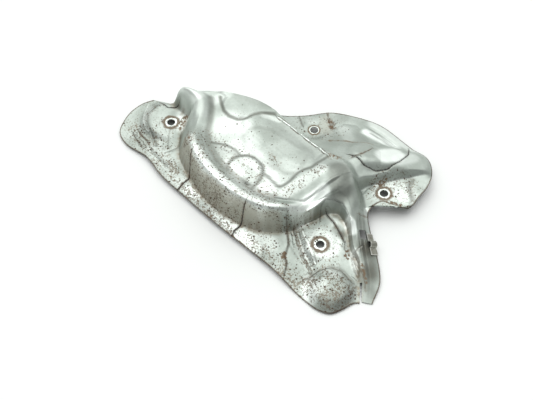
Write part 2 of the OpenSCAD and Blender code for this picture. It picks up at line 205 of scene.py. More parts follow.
def through(x: np.ndarray, knots: tuple[Plan, ...]) -> np.ndarray:
    """Smooth curve through knots that never overshoots them.

    Args:
        x: Places to read.
        knots: Pairs of place and value, in rising order of place.

    Returns:
        The curve's value at each place.
    """
    kx, ky = np.array(knots, float).T
    step = np.diff(kx)
    rise = np.diff(ky) / step
    slope = np.zeros(len(kx))
    same = rise[1:] * rise[:-1] > 0
    slope[1:-1][same] = (2 * rise[1:] * rise[:-1] / (rise[1:] + rise[:-1]))[same]
    slope[0], slope[-1] = rise[0] * 0.6, rise[-1] * 0.6
    i = np.clip(np.searchsorted(kx, x) - 1, 0, len(step) - 1)
    h, f = step[i], np.clip((x - kx[i]) / step[i], 0.0, 1.0)
    return cubic(f, ky[i], ky[i + 1], h * slope[i], h * slope[i + 1])


@dataclass(frozen=True)
class Line:
    """A crack, crease, worn and painted bright edge or painted shade band on the sheet, drawn in plan in
    millimetres.

    Args:
        points: Corners of the line.
        rise: Height pressed into the mesh along the line.
        half: Half width of that pressing.
        fold: Height of the sharp fold that the finish shows.
        dark: Strength of the black line.
        rust: Strength of the rust beside it.
        shine: Strength of the bright line, worn coating and painted highlight along the crease.
        border: Strength of the broken dark edges on both sides of it, painted shade beside the crease and
            dark flecks.
        band: Strength of the soft band of painted shade along the line's step or groove.
        reach: Half width of that band.
    """

    points: tuple[Plan, ...]
    rise: float = 0.0
    half: float = 3.0
    fold: float = 0.0
    dark: float = 0.0
    rust: float = 0.0
    shine: float = 0.0
    border: float = 0.0
    band: float = 0.0
    reach: float = 2.6


@dataclass(frozen=True)
class Blot:
    """A patch of the finish, round or drawn out along a line in plan, in millimetres.

    Args:
        start: One end of its middle line.
        end: The other end.
        radius: Radius of the full strength.
        soft: Width over which it fades.
        shade: Lighter above 0, darker below 0, mostly as painted highlight and painted shade.
        rust: Share of rust.
        speck: Share of dark specks.
        film: Share of the dull brown film that hides the gloss.
    """

    start: Plan
    end: Plan
    radius: float
    soft: float = 4.0
    shade: float = 0.0
    rust: float = 0.0
    speck: float = 0.0
    film: float = 0.0


LINES: tuple[Line, ...] = (
    # Ear and knob: cracks and creases, with painted highlight and a painted shade band along the ear's
    # ridge.
    Line(((-138, 11), (-125, 11), (-116, 18)), dark=1.0, rust=0.5, fold=0.4),
    Line(((-131, -27), (-113, -29), (-100, -33), (-90, -35), (-69, -35)), -0.4, 3, 0.1),
    Line(((-90, -1), (-83, -9), (-78, -17), (-81, -25)), -0.5, 3, 0.2, 0.25, 0.3),
    Line(((-104, -2), (-97, -12), (-88, -22)), -0.3, 2.5, 0.15, 0.2, 0.2),
    Line(((-143, -2), (-138, -11), (-131, -18), (-122, -23), (-113, -24)), shine=0.6),
    Line(((-135, 4), (-133, -10), (-124, -18), (-108, -25), (-98, -29)), 0, 2, 0.3, 0.2, band=0.5,
         reach=4),
    Line(((-129, -28), (-120, -31), (-108, -32), (-98, -35)), -0.3, 2, 0.4, 0.5, 0.8),
    Line(((-129, -35), (-120, -38), (-109, -40)), -0.2, 2, 0.4, 0.4, 0.6),
    Line(((-95, -38), (-84, -39), (-69, -40)), -0.3, 2, 0.4, 0.3, 0.2, 0.5),
    # Cracks across the front flange.
    Line(((-45, -25), (-43, -31), (-40, -36), (-41, -43), (-40, -50)), -0.5, 2.5, 0.5, 1.0, 0.9),
    Line(((36, -31), (37, -39), (36, -45), (38, -51)), -0.4, 2.5, 0.5, 0.9, 0.7),
    Line(((72, -10), (77, -14), (85, -20), (91, -32), (98, -36), (104, -46)), -0.3, 2.5, 0.4,
         0.5, 0.7),
    # Plateau: bands of painted shade along its steps and grooves, and its bright fold with painted shade
    # at the edges.
    Line(((-79, 46), (-71, 40), (-62, 35), (-53, 34), (-44, 37), (-38, 45), (-37, 53), (-33, 61),
          (-23, 70)), band=0.75, reach=2.8),
    Line(((-42, -3), (-36, 1), (-28, 6), (-19, 8), (-10, 7)), 0.35, 2.2, band=0.7, reach=2.6),
    Line(((-4, -14), (-9, -10), (-11, -2), (-9, 6), (-3, 13), (6, 15), (16, 13), (22, 8), (26, 0),
          (28, -8), (28, -14)), band=0.75, reach=3.0),
    Line(((23, 7), (28, 8), (37, 7), (44, 6), (47, 11), (48, 19), (46, 29), (47, 37), (52, 45),
          (52, 53), (53, 61), (53, 67)), band=0.65, reach=2.8),
    Line(((-84, 37), (-73, 29), (-62, 16), (-54, 5), (-40, -6), (-22, -12), (-3, -14), (20, -14),
          (38, -11), (50, -5)), band=0.55, reach=5),
    Line(((-24, 25), (-13, 19), (4, 18), (23, 19), (38, 22), (45, 31), (43, 42), (38, 52)), band=0.22,
         reach=3.5),
    Line(((-24, 25), (-26, 34), (-22, 44), (-11, 51), (7, 53), (27, 55)), band=0.22, reach=3.5),
    Line(((72, 0), (72, 11), (73, 23), (74, 36), (75, 49), (78, 57)), 0, 3, 0.12, 0.1),
    Line(((-18, 69), (4, 69.6), (28, 69), (40, 69.4), (52, 68)), 0.3, 2.0, 0.5, 0, 0, 1.0, 0.9),
    # Alcove over the right front bolt, and the toe: a dark line as painted shadow under the arch, creases,
    # cracks, a bright line and a painted shade band round the toe.
    Line(((89, 18), (84, 25), (84, 32), (89, 37), (97, 41), (105, 39), (113, 36)), 0, 3, 0.25, 0.35),
    Line(((89, 28), (99, 26), (111, 22), (121, 18)), -0.4, 2.0, 0.5, 0.8, 0.7, 0, 0.3),
    Line(((79, -6), (92, -14), (105, -21), (120, -26)), -0.2, 2, 0.4, 0.25, 0.6, 0, 0.8),
    Line(((85, -1), (100, -8), (117, -17)), 0.4, 2.5, 0.3, 0, 0, 0.7, 0.5),
    Line(((127, 13), (137, 12), (143, 7), (154, 1)), 0.3, 2, 0.5, 0.2, 0.3, 0.4, 0.3),
    Line(((137, 12), (137, 25)), 0.3, 2, 0.5, 0.2, 0.4, 0.6),
    Line(((122, -34), (124, -21), (130, -11), (141, -6), (154, -7)), 0, 3, 0.4, 0.15, 0.3, 0.2,
         band=0.4, reach=4),
    Line(((139, 11), (147, 9), (155, 6), (162, 2), (169, -4)), 0, 3, 0.15, 0.15, 0.4),
    # Rear flange and lobe, with bands of painted shade along the lobe's grooves.
    Line(((-16, 100), (-5, 93)), -0.4, 2.5, 0.4, 0.4, 0.5),
    Line(((3, 122), (11, 117), (18, 111), (16, 118)), 0.4, 2.5, 0.5, 0.3, 0.6, 0.4),
    Line(((31, 95), (43, 105), (52, 110), (61, 115), (70, 118)), 0, 3, 0.1, 0.15, 0.75),
    Line(((21, 114), (24, 127), (34, 134), (45, 131), (59, 125), (75, 115), (82, 115), (90, 105),
          (94, 100)), -0.5, 4, 0.1),
    Line(((47, 141), (59, 142), (73, 142), (83, 141)), -0.2, 2.5, 0.15, 0.1),
    Line(((63, 88), (72, 89), (82, 88), (93, 94), (100, 105), (102, 122), (101, 136), (94, 147)),
         -0.6, 3, 0.5, 0.9, 0.3),
    Line(((68, 86), (72, 94), (73, 102), (73, 111)), -0.4, 2.5, 0.3, 0.4, 0.8),
    Line(((106, 58), (98, 69), (97, 79), (99, 92), (102, 99)), 0, 3, 0.3, 0.2),
    Line(((122, 119), (124, 111), (137, 101)), band=0.6, reach=4),
    Line(((53, 135), (66, 137), (79, 136), (88, 134)), -0.3, 2, 0.2, 0.15, band=0.5, reach=2),
    # Right slope and skirt.
    Line(((114, 48), (119, 54), (127, 59)), 0, 3, 0.2, 0.3, 0.6),
)

BLOTS: tuple[Blot, ...] = (
    # Where the coating is eaten by fine specks, with a few lighter patches on the flanges and painted
    # highlight on the toe's slope.
    Blot((-128, -34), (-92, -30), 8, 12, speck=0.75),
    Blot((-138, 0), (-138, -30), 8, 10, speck=0.35),
    Blot((-90, -40), (70, -48), 7, 8, speck=0.85),
    Blot((70, -48), (125, -45), 8, 8, speck=0.9),
    Blot((140, -30), (156, -26), 16, 6, speck=1.0),
    Blot((130, -40), (136, -34), 5, 6, shade=0.25),
    Blot((104, -3), (110, 3), 13, 6, shade=0.5, speck=0.35),
    Blot((50, -38), (72, -32), 5, 6, shade=0.4, speck=0.6),
    Blot((16, -46), (60, -46), 4, 6, shade=0.3),
    Blot((-62, -12), (-36, -24), 7, 4, speck=0.8),
    Blot((-36, -24), (20, -30), 6, 5, speck=0.6),
    Blot((20, -30), (68, -10), 6, 5, speck=0.6),
    Blot((-45, -5), (20, -8), 12, 8, speck=0.4),
    Blot((-10, 0), (10, 0), 14, 8, speck=0.35),
    Blot((-30, 35), (30, 20), 20, 16, speck=0.14),
    Blot((110, 92), (122, 106), 12, 8, speck=0.6),
    Blot((96, 0), (118, -14), 16, 8, speck=0.45),
    Blot((0, 90), (20, 112), 14, 8, speck=0.3),
    Blot((110, 78), (138, 92), 8, 6, speck=0.5),
    # Painted highlights where the knob, the bead's crest, the slopes, the plateau's front and the lobe
    # face the light, and one painted shadow under the alcove's fold.
    Blot((-108, 27), (-96, 28), 6, 6, shade=0.6),
    Blot((-94, 26), (-72, 16), 3, 5, shade=0.2),
    Blot((-101, 7), (-92, 5), 3, 8, shade=0.9),
    Blot((-58, -15), (-42, -23), 3, 3, shade=0.5),
    Blot((-42, -21), (-22, -28), 4.5, 3, shade=1.0),
    Blot((-22, -28), (19, -30), 5, 3, shade=1.0),
    Blot((19, -31), (51, -22), 4, 3, shade=0.75),
    Blot((51, -23), (68, -12), 3.5, 3, shade=0.15),
    Blot((78, 34), (75, 18), 4.5, 4, shade=0.8),
    Blot((76, 14), (73, 0), 5, 4, shade=0.7),
    Blot((80, 12), (78, 5), 2, 4, shade=0.6),
    Blot((48, 133), (83, 138), 3, 4, shade=1.0),
    Blot((45, 150), (96, 152), 4, 5, shade=0.6),
    Blot((93, 124), (88, 114), 7, 5, shade=0.9),
    Blot((101, 122), (106, 136), 4, 5, shade=0.45),
    Blot((-44, 26), (24, -4), 14, 12, shade=0.45),
    Blot((-20, 14), (38, 12), 6, 6, shade=0.3),
    Blot((61, 50), (54, 6), 4, 4, shade=0.5, speck=0.55),
    Blot((46, -2), (34, -8), 4, 4, shade=0.45, speck=0.6),
    Blot((-29, 60), (-14, 67), 1.5, 3, shade=0.5),
    Blot((-10, -9), (8, -10), 2, 4, shade=0.5),
    Blot((-31, -45), (-20, -43), 3, 3, shade=0.8),
    Blot((24, -44), (32, -43), 2, 3, shade=0.8),
    Blot((113, 59), (129, 45), 2, 2, shade=0.5),
    Blot((-138, -4), (-130, -16), 2, 4, shade=0.35),
    Blot((126, -34), (139, -47), 4, 5, shade=0.6),
    Blot((-56, -43), (66, -46), 4, 5, shade=0.35),
    Blot((116, 102), (130, 100), 6, 8, shade=0.3),
    Blot((112, 33), (116, 30), 1, 4, shade=0.6),
    Blot((-48, 24), (-34, 36), 6, 8, shade=0.3),
    Blot((130, -16), (140, -12), 3, 4, shade=0.35),
    Blot((-79, 38), (-76, 54), 3, 5, shade=0.4),
    Blot((-107, 15), (-98, 10), 3, 5, shade=0.5),
    Blot((113, 34), (118, 30), 3, 4, shade=0.9),
    Blot((138, 15), (146, 9), 3, 5, shade=0.75),
    Blot((108, 23), (114, 22), 3, 4, shade=-0.8),
    Blot((115, 34), (121, 30), 3, 3, shade=0.9),
    Blot((-95, -33), (-72, -40), 6, 5, shade=0.15),
    Blot((43, -19), (58, -12), 3, 4, shade=0.5),
    Blot((-112, -8), (-100, -14), 6, 8, shade=0.1, speck=0.45),
    Blot((110, 88), (126, 100), 9, 6, shade=0.25),
    # Painted shade on the dome's slope and the right skirt, which turn from the light, with rust patches,
    # a cluster of specks and a few painted highlights between.
    Blot((74, 60), (88, 48), 7, 9, shade=-0.55),
    Blot((28, 30), (42, 34), 3, 6, shade=0.25),
    Blot((97, 30), (108, 26), 3, 4, shade=0.4),
    Blot((10, 29), (25, 26), 1, 3, speck=1.0),
    Blot((121, 42), (141, 28), 3, 10, shade=-0.35, rust=0.05),
    Blot((141, 28), (160, 12), 3, 12, shade=-0.6, rust=0.08),
    Blot((-96, 0), (-99, 14), 1.5, 4, rust=0.4),
    Blot((-60, -14), (-54, -17), 0.5, 2.5, rust=0.35),
    Blot((-58, -46), (60, -51), 0.5, 2.5, rust=0.2),
    Blot((104, 98), (101, 82), 1, 3, rust=0.35),
    Blot((134, 87), (118, 80), 0.5, 2.5, rust=0.35),
    Blot((89, -31), (91, -33), 1.5, 2, rust=0.7),
    Blot((128, 14), (134, 8), 1, 3, rust=0.45),
    Blot((150, 12), (164, 2), 0.5, 2.5, rust=0.25),
    Blot((160, 12), (178, -8), 2, 12, shade=-0.3),
    Blot((-62, -23), (-46, -31), 2, 3, shade=0.3),
    # The dull wall of the bead.
    Blot((-68, -18), (-42, -31), 3, 3, film=0.8),
    Blot((-42, -31), (-22, -37), 3, 3, film=0.85),
    Blot((-22, -37), (18, -38), 3, 3, film=0.85),
    Blot((18, -38), (52, -30), 3, 3, film=0.8),
    Blot((52, -30), (67, -18), 3, 3, film=0.7),
    # Darker and lighter patches of the flanges, the plateau and the toe, partly painted shade where the
    # plateau's back and the toe's flank turn from the light, with rust and a dull film.
    Blot((25, 100), (50, 112), 10, 10, shade=-0.2),
    Blot((-15, 62), (45, 64), 4, 8, shade=-0.15),
    Blot((-12, 38), (30, 38), 9, 6, shade=-0.1),
    Blot((-30, -43), (-12, -43), 3, 6, shade=-0.2),
    Blot((148, -44), (160, -28), 4, 8, shade=-0.15),
    Blot((166, 0), (176, -3), 2, 5, shade=-0.2),
    Blot((156, -42), (168, -24), 3, 8, shade=-0.3),
    Blot((0, 110), (18, 132), 3, 7, shade=-0.18),
    Blot((30, 118), (42, 112), 4, 6, shade=0.35),
    Blot((36, 54), (48, 44), 5, 8, shade=-0.1),
    Blot((-80, 62), (-40, 76), 6, 10, shade=-0.2),
    Blot((12, 116), (20, 112), 1, 5, rust=0.3),
    Blot((-4, 104), (2, 110), 3, 4, shade=0.3),
    Blot((8, 114), (18, 104), 3, 6, film=0.35),
    Blot((56, 70), (60, 76), 2, 5, rust=0.35),
)


@dataclass
class SheetForm:
    """The outer face of the pressed sheet, in millimetres.

    Args:
        thickness: Thickness of the sheet.
        bead_h: Height of the tube bead over the plateau.
        bead_in: Distance from the bead's crest to its inner valley.
        pad_rear: Height of the rear bolt seats.
        groove_d: Depth of the pressed grooves.
        finer: Fine columns for each coarse one.
        holes: Middle and height of each bolt hole.
        wall: Share of the wall's height at shares of its run, where the bead stands on it.
        rounded: Place, radius and number of rounds of each softened corner.
    """

    thickness: float = 1.0
    bead_h: float = 6.0
    bead_in: float = 15.0
    pad_rear: float = 13.0
    groove_d: float = 1.2
    finer: int = 4
    holes: tuple[Point, ...] = ((-107, 0, 10), (107, 0, 10), (8.1, 96.6, 13), (112.3, 86.38, 13))
    wall: tuple[Plan, ...] = ((0, 0), (0.10, 0.07), (0.24, 0.32), (0.38, 0.61), (0.52, 0.82),
                              (0.67, 0.94), (0.84, 0.99), (1, 1))
    rounded: tuple[tuple[Plan, float, int], ...] = (
        ((-108, 26), 24, 24), ((72, 0), 13, 10), ((95, 36), 16, 10), ((4, -13), 14, 10))

    def __post_init__(self) -> None:
        """Lays out the fine columns and rows and computes the face."""
        self.u = np.concatenate(
            [k + np.arange(s.columns * self.finer) / (s.columns * self.finer)
             for k, s in enumerate(STATIONS[:-1])] + [np.array([len(STATIONS) - 1.0])])
        self.rows: list[tuple[Region, float]] = [
            (region, t) for region, count, kept in ROWS for t in np.linspace(0, 1, count)[kept]]
        self.region = np.array([r.value for r, _ in self.rows])
        self.face = self.compute()

    def rail(self, name: str, u: np.ndarray) -> np.ndarray:
        """Smooth curve through one point of every section.

        Args:
            name: Field of Station that holds the point.
            u: Section positions.

        Returns:
            One point for each position.
        """
        p = np.array([getattr(s, name) for s in STATIONS], float)
        p = np.vstack([2 * p[0] - p[1], p, 2 * p[-1] - p[-2]])
        k = np.minimum(np.floor(u).astype(int), len(STATIONS) - 2)
        f = (u - k)[:, None]
        p0, p1, p2, p3 = p[k], p[k + 1], p[k + 2], p[k + 3]

        def chord(a: np.ndarray, b: np.ndarray) -> np.ndarray:
            """Square root of the distance between two points, never zero."""
            return np.sqrt(np.maximum(np.linalg.norm(b - a, axis=1), 0.001))[:, None]

        a, b, c = chord(p0, p1), chord(p1, p2), chord(p2, p3)
        m1 = p2 - p1 + b * ((p1 - p0) / a - (p2 - p0) / (a + b))
        m2 = p2 - p1 + b * ((p3 - p2) / c - (p3 - p1) / (b + c))
        return cubic(f, p1, p2, m1, m2)

    def value(self, name: str, u: np.ndarray) -> np.ndarray:
        """Smooth curve through one number of every section.

        Args:
            name: Field of Station that holds the number.
            u: Section positions.

        Returns:
            One number for each position.
        """
        v = np.array([getattr(s, name) for s in STATIONS], float)
        v = np.concatenate([[2 * v[0] - v[1]], v, [2 * v[-1] - v[-2]]])
        k = np.minimum(np.floor(u).astype(int), len(STATIONS) - 2)
        return cubic(u - k, v[k + 1], v[k + 2], (v[k + 2] - v[k]) / 2, (v[k + 3] - v[k + 1]) / 2)

    def seat(self, p: np.ndarray, a: Point, b: Plan, r_in: float, r_out: float) -> np.ndarray:
        """Flattens a bolt seat into the sheet, round or drawn out along a line.

        Args:
            p: Points of the sheet.
            a: Centre and height of the seat.
            b: Other end of the seat's middle line.
            r_in: Distance from the line to the end of the flat.
            r_out: Distance where the seat runs out.

        Returns:
            The points with the seat in them.
        """
        q = p.copy()
        d = off_line(p, a[:2], b) if b != a[:2] else np.hypot(p[..., 0] - a[0], p[..., 1] - a[1])
        q[..., 2] = mix(p[..., 2], a[2], ease((r_out - d) / (r_out - r_in)))
        return q

    def lift(self, p: np.ndarray, h: np.ndarray) -> np.ndarray:
        """Raises points by a height each.

        Args:
            p: Points of the sheet.
            h: Heights.

        Returns:
            The raised points.
        """
        q = p.copy()
        q[..., 2] += h
        return q

    def groove(self, p: np.ndarray, a: Plan, b: Plan, w: float) -> np.ndarray:
        """Depth of a straight pressed groove."""
        return -self.groove_d * ease(1 - off_line(p, a, b) / w)

    def front_form(self, p: np.ndarray) -> np.ndarray:
        """Pressed details of the front flange.

        Args:
            p: Points of the plain flange.

        Returns:
            The points with the details in them.
        """
        x, y = p[..., 0], p[..., 1]
        turn = np.radians
        dent = (0.25 * np.sin(turn(x * 9 + y * 5)) * np.sin(turn(x * 4 - y * 11))
                * ease((-22 - y) / 10) * ease((97 - x) / 30))
        toe = 5 * near(p, (147, -28), 10, 26) * ease((171 - x) / 12)
        cut = (self.groove(p, (83, -6), (121, -23), 3.5) + self.groove(p, (85, -18), (121, -28), 3.5)
               + self.groove(p, (59, -36), (75, -47), 4))
        q = self.lift(p, dent + toe + cut)
        q = self.seat(q, self.holes[0], (-117, -2), 17, 26)
        return self.seat(q, self.holes[1], self.holes[1][:2], 12, 19)

    def top_form(self, p: np.ndarray) -> np.ndarray:
        """Pressed details of the plateau.

        Args:
            p: Points of the plain plateau.

        Returns:
            The points with the details in them.
        """
        x, y = p[..., 0], p[..., 1]
        edge_x = 70 + (y - 5) * 0.22
        by_bead = ease((mix(-2, 7, (x + 40) / 30) - y) / 4) * ease((0 - x) / 8)
        by_end = ease((8 - y) / 4) * ease((x - 14) / 6)
        terrace = (np.maximum(np.maximum(by_bead, by_end), ease((x - 45) / 5))
                   * np.maximum(ease((edge_x - x) / 3), ease((y - 48) / 12) * ease((90 - x) / 14)))
        boss = near(p, (8, -4), 15.5, 19.5)
        oval = ease((17 - off_line(p, (-25, 47), (33, 47))) / 5)
        behind = ease(-beside(p, (-38, 50), (-23, 70)) / 4) * ease((y - 48) / 4)
        scallop = np.maximum(near(p, (-57, 52), 15, 19), behind)
        dome = near(p, (72, 48), 3, 27)
        crown = 0.0006 * np.maximum(0, y - 20) ** 2
        pressed = np.maximum(1.1 * terrace, 2 * boss) + 1.6 * oval * ease((66 - y) / 18)
        return self.lift(p, pressed + 1.6 * scallop + 5 * dome - crown)

    def slope_form(self, p: np.ndarray) -> np.ndarray:
        """Pressed details of the slope under the dome."""
        return self.lift(p, -4 * near(p, (98, 31), 2, 10))

    def rear_form(self, p: np.ndarray) -> np.ndarray:
        """Pressed details of the rear flange and lobe.

        Args:
            p: Points of the plain flange.

        Returns:
            The points with the details in them.
        """
        swell = 6.5 * ease((24 - off_line(p, (72.3, 104), (112.3, 136))) / 14)
        channel = self.groove(p, (48, 141), (84, 141), 5)
        bend = self.groove(p, (120.3, 118.4), (139.3, 98.4), 4)
        q = self.lift(p, swell + channel)
        q = self.seat(q, self.holes[2], self.holes[2][:2], 9, 16)
        pad = (109.3, 74.4, self.pad_rear)
        return self.lift(self.seat(q, pad, (135.3, 118.4), 15, 20), bend)

    def compute(self) -> np.ndarray:
        """The whole outer face.

        Returns:
            Points in an array of columns by rows by xyz.
        """
        e, g0, c, b, z = (self.rail(n, self.u) for n in ("edge", "foot", "crest", "back", "rim"))
        g = self.front_form(g0)
        valley, rear_run, rear_h = (self.value(n, self.u) for n in ("valley", "rear_run", "rear_h"))
        span = np.maximum(np.linalg.norm(b[:, :2] - c[:, :2], axis=1), 0.001)
        inward = (b[:, :2] - c[:, :2]) / span[:, None]
        i = c[:, :2] + inward * np.minimum(self.bead_in, span * 0.45)[:, None]
        bead = np.clip((c[:, 2] - valley) / self.bead_h, 0, 1)
        top = self.top_form(b)
        back = z[:, :2] - b[:, :2]
        reach = np.maximum(np.linalg.norm(back, axis=1), 0.001)
        d0 = b[:, :2] + back / reach[:, None] * np.minimum(rear_run, reach * 0.6)[:, None]
        d0 = np.column_stack([d0, rear_h])
        d = self.rear_form(d0)
        cols = []
        for region, t in self.rows:
            soft = float(ease(np.array(t)))
            if region is Region.FLANGE:
                p = self.front_form(mix(e, g0, t))
            elif region is Region.WALL:
                h = mix(t, float(through(np.array([t]), self.wall)[0]), bead)
                p = np.column_stack([mix(g[:, :2], c[:, :2], t), mix(g[:, 2], c[:, 2], h)])
                p = self.slope_form(p)
            elif region is Region.BEAD:
                h = mix(c[:, 2], valley, mix(t, soft, bead))
                p = self.slope_form(np.column_stack([mix(c[:, :2], i, t), h]))
            elif region is Region.TOP:
                h = mix(valley, b[:, 2], mix(1 - (1 - t) ** 1.5, soft, bead))
                p = self.slope_form(self.top_form(np.column_stack([mix(i, b[:, :2], t), h])))
            elif region is Region.REAR_WALL:
                h = mix(top[:, 2], d[:, 2], soft)
                p = np.column_stack([mix(b[:, :2], d[:, :2], t), h])
            else:
                p = self.rear_form(mix(d0, z, t))
            cols.append(p)
        face = np.stack(cols, axis=1)
        for place, radius, rounds in self.rounded:
            face = self.softened(face, place, radius, rounds)
        return self.creased(face)

    def softened(self, p: np.ndarray, place: Plan, radius: float, rounds: int) -> np.ndarray:
        """Rounds the face off near one place.

        Args:
            p: Points of the face.
            place: Middle of the rounding in plan.
            radius: Distance where it ends.
            rounds: How often each point moves towards its neighbours.

        Returns:
            The rounded points.
        """
        share = near(p, place, radius * 0.5, radius)[1:-1, 1:-1, None] * 0.6
        q = p.copy()
        for _ in range(rounds):
            around = (q[:-2, 1:-1] + q[2:, 1:-1] + q[1:-1, :-2] + q[1:-1, 2:]) / 4
            q[1:-1, 1:-1] = mix(q[1:-1, 1:-1], around, share)
        return q

    def creased(self, p: np.ndarray) -> np.ndarray:
        """Presses the soft part of every line into the face.

        Args:
            p: Points of the face.

        Returns:
            The points with the lines in them.
        """
        h = np.zeros(p.shape[:-1])
        for line in LINES:
            if line.rise:
                d = np.min([off_line(p, a, b) for a, b in zip(line.points, line.points[1:])], axis=0)
                h += line.rise * ease(1 - d / line.half)
        return self.lift(p, h)

    def skirt_frame(self, u: float) -> tuple[np.ndarray, ...]:
        """A frame on the right skirt's edge.

        Args:
            u: Section position.

        Returns:
            Origin, direction along the edge, direction up the sheet, direction out of it.
        """
        at = np.array([u, u + 0.05, u - 0.05])
        rim = self.rail("rim", at)
        crest = self.rail("back", at)[0]
        back = rim[0, :2] - crest[:2]
        d = crest[:2] + back / np.linalg.norm(back) * self.value("rear_run", at)[0]
        along = (rim[1] - rim[2]) / np.linalg.norm(rim[1] - rim[2])
        up = np.array([*d, self.value("rear_h", at)[0]]) - rim[0]
        out = np.cross(up, along)
        out /= np.linalg.norm(out)
        return rim[0], -along, np.cross(along, out), out


def activate(obj: bpy.types.Object) -> None:
    """Makes one object the only selected and active one.

    Args:
        obj: The object.
    """
    bpy.ops.object.select_all(action="DESELECT")
    obj.select_set(True)
    bpy.context.view_layer.objects.active = obj


def apply(obj: bpy.types.Object, kind: str, **settings: object) -> None:
    """Adds a modifier and applies it.

    Args:
        obj: The object to change.
        kind: Type of the modifier.
        **settings: Values set on the modifier.
    """
    activate(obj)
    mod = obj.modifiers.new(kind.lower(), kind)
    for name, value in settings.items():
        setattr(mod, name, value)
    bpy.ops.object.modifier_apply(modifier=mod.name)


def positions(obj: bpy.types.Object) -> np.ndarray:
    """Reads where a mesh's vertices are.

    Args:
        obj: The mesh's object.

    Returns:
        One row of xyz for each vertex, in metres.
    """
    co = np.zeros(len(obj.data.vertices) * 3)
    obj.data.vertices.foreach_get("co", co)
    return co.reshape(-1, 3)


def laid(name: str, points: np.ndarray) -> bpy.types.Object:
    """Lays a thin grid through points.

    Args:
        name: Name of the object.
        points: Columns by rows by xyz, in millimetres from the middle of the front bolts.

    Returns:
        The grid.
    """
    nu, nv = points.shape[:2]
    bpy.ops.object.select_all(action="DESELECT")
    bpy.ops.mesh.primitive_grid_add(x_subdivisions=nu - 1, y_subdivisions=nv - 1, size=1)
    grid = bpy.context.object
    grid.name = name
    co = positions(grid)
    i = np.rint((co[:, 0] + 0.5) * (nu - 1)).astype(int)
    j = np.rint((co[:, 1] + 0.5) * (nv - 1)).astype(int)
    grid.data.vertices.foreach_set("co", ((points[i, j] + np.array(HOME)) * MM).ravel())
    grid.data.update()
    return grid


def dress(obj: bpy.types.Object, material: bpy.types.Material) -> None:
    """Smooths a piece up to its sharp edges and gives it its material.

    Args:
        obj: The piece.
        material: Its only material.
    """
    activate(obj)
    bpy.ops.object.shade_smooth_by_angle(angle=SHARP_TURN)
    obj.data.materials.clear()
    obj.data.materials.append(material)


class Graph:
    """Short way to write a material's nodes.

    Args:
        name: Name of a new material.
        tree: Node tree to write into instead of a new material's.
    """

    def __init__(self, name: str, tree: bpy.types.NodeTree | None = None) -> None:
        """Starts with no nodes, in the given tree or in a new material's."""
        if tree is None:
            self.material = bpy.data.materials.new(name)
            self.material.use_nodes = True
            tree = self.material.node_tree
        self.tree = tree
        self.tree.nodes.clear()

    def add(self, kind: str, inputs: dict | None = None, **props: object) -> bpy.types.Node:
        """Adds a node.

        Args:
            kind: Node type.
            inputs: Values or sockets for the node's inputs, by name or number.
            **props: Values set on the node itself.

        Returns:
            The new node.
        """
        node = self.tree.nodes.new(kind)
        for name, value in props.items():
            setattr(node, name, value)
        for key, value in (inputs or {}).items():
            if isinstance(value, bpy.types.NodeSocket):
                self.tree.links.new(value, node.inputs[key])
            else:
                node.inputs[key].default_value = value
        return node

    def math(self, op: str, a: object, b: object = 0.0, clamp: bool = False) -> Socket:
        """Adds a sum or other arithmetic of two values."""
        return self.add("ShaderNodeMath", {0: a, 1: b}, operation=op, use_clamp=clamp).outputs[0]

    def times(self, a: object, b: object, clamp: bool = False) -> Socket:
        """Multiplies two values."""
        return self.math("MULTIPLY", a, b, clamp)

    def more(self, a: object, share: object, b: object) -> Socket:
        """Adds a share of one value to another."""
        return self.add("ShaderNodeMath", {0: a, 1: share, 2: b}, operation="MULTIPLY_ADD").outputs[0]

    def ramp(self, value: Socket, low: float, high: float, a: float = 0.0, b: float = 1.0) -> Socket:
        """Smoothly maps a value between two limits.

        Args:
            value: Socket to map.
            low: Value that gives a.
            high: Value that gives b.
            a: Result at low.
            b: Result at high.

        Returns:
            The result's socket.
        """
        node = self.add("ShaderNodeMapRange", {0: value, 1: low, 2: high, 3: a, 4: b},
                        interpolation_type="SMOOTHSTEP")
        return node.outputs[0]

    def blend(self, share: object, a: object, b: object) -> Socket:
        """Mixes two colours.

        Args:
            share: Share of the second colour.
            a: First colour or socket.
            b: Second colour or socket.

        Returns:
            The mixed colour's socket.
        """
        node = self.add("ShaderNodeMix", data_type="RGBA")
        for key, value in ((0, share), (6, a), (7, b)):
            if isinstance(value, bpy.types.NodeSocket):
                self.tree.links.new(value, node.inputs[key])
            else:
                node.inputs[key].default_value = value if key == 0 else (*value, 1.0)
        return node.outputs[2]

    def noise(self, where: Socket, scale: float, detail: float = 2.0, rough: float = 0.5) -> Socket:
        """Adds a noise texture."""
        return self.add("ShaderNodeTexNoise", {"Vector": where, "Scale": scale, "Detail": detail,
                                               "Roughness": rough}).outputs["Fac"]

    def attribute(self, name: str) -> Socket:
        """Reads one of the mesh's own numbers."""
        return self.add("ShaderNodeAttribute", attribute_name=name).outputs["Fac"]


